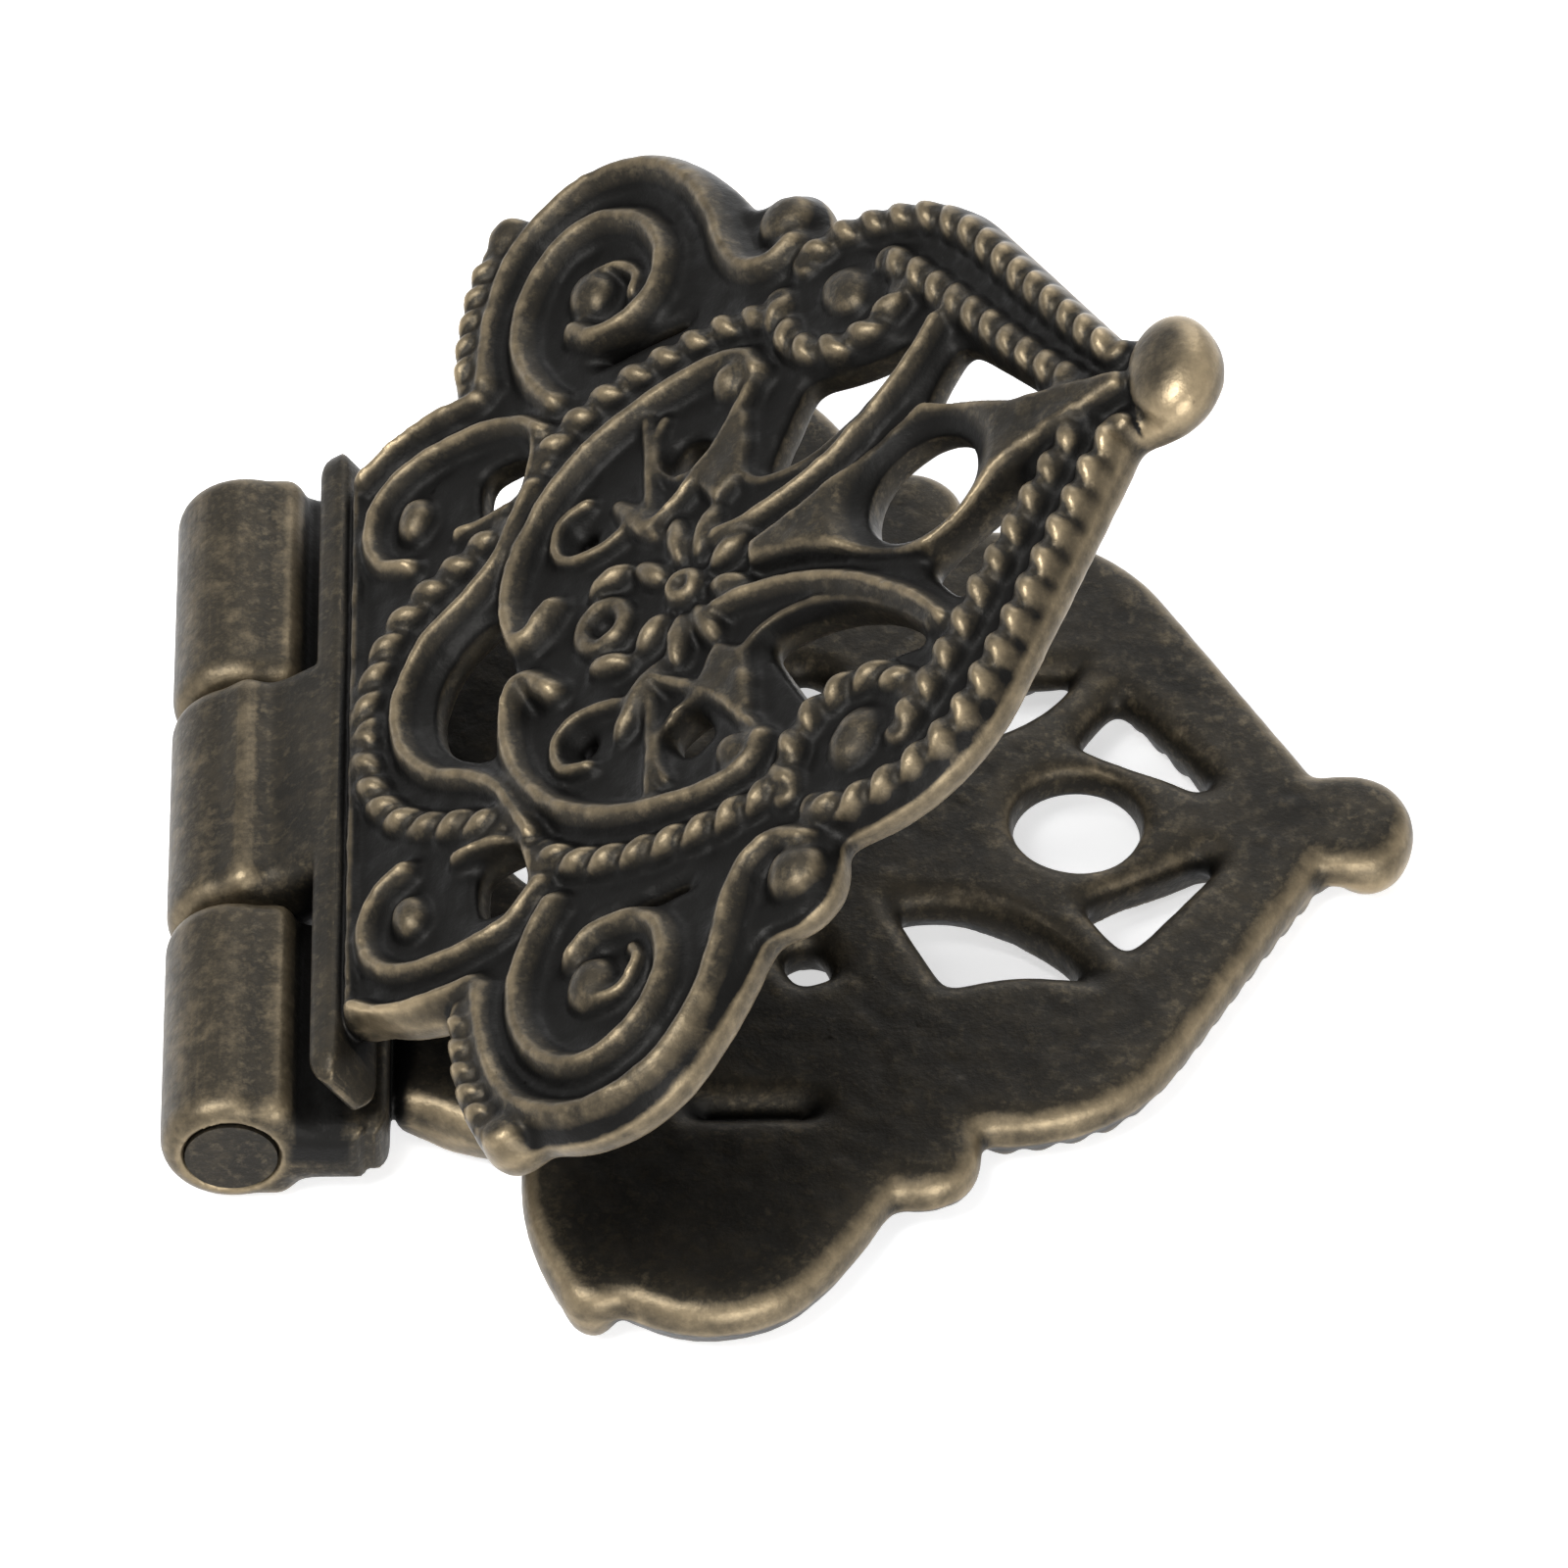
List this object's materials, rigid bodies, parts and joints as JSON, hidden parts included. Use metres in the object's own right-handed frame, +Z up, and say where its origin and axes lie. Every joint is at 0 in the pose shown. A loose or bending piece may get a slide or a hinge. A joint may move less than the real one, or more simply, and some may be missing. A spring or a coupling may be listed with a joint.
{
  "type": "ornate box hinge",
  "caption": "Ornate openwork box hinge: scrollwork leaves with rope borders and a screw eye, turning on a plain pin to hang a lid or small door.",
  "frame": {"origin": "on the surface it lies on, under the middle of its box as folded", "axes": "+Y along the pin, +X from the pin to the leaf tips, +Z up"},
  "size_m": [0.0354, 0.0368, 0.0212],
  "materials": {
    "antique_bronze": "antique bronze over a zinc casting, worn on the edges",
    "pin_steel": "steel with the same antique bronze finish"
  },
  "bodies": {
    "lower": {"lower_leaf": "antique_bronze", "hinge_pin": "pin_steel"},
    "upper": {"upper_leaf": "antique_bronze"}
  },
  "joints": [
    {"name": "leaf_swing", "type": "hinge", "parent": "lower", "child": "upper", "pos_m": [-0.01575, 0, 0.002], "axis": [0, -1, 0], "range_deg": [0, 280]}
  ]
}
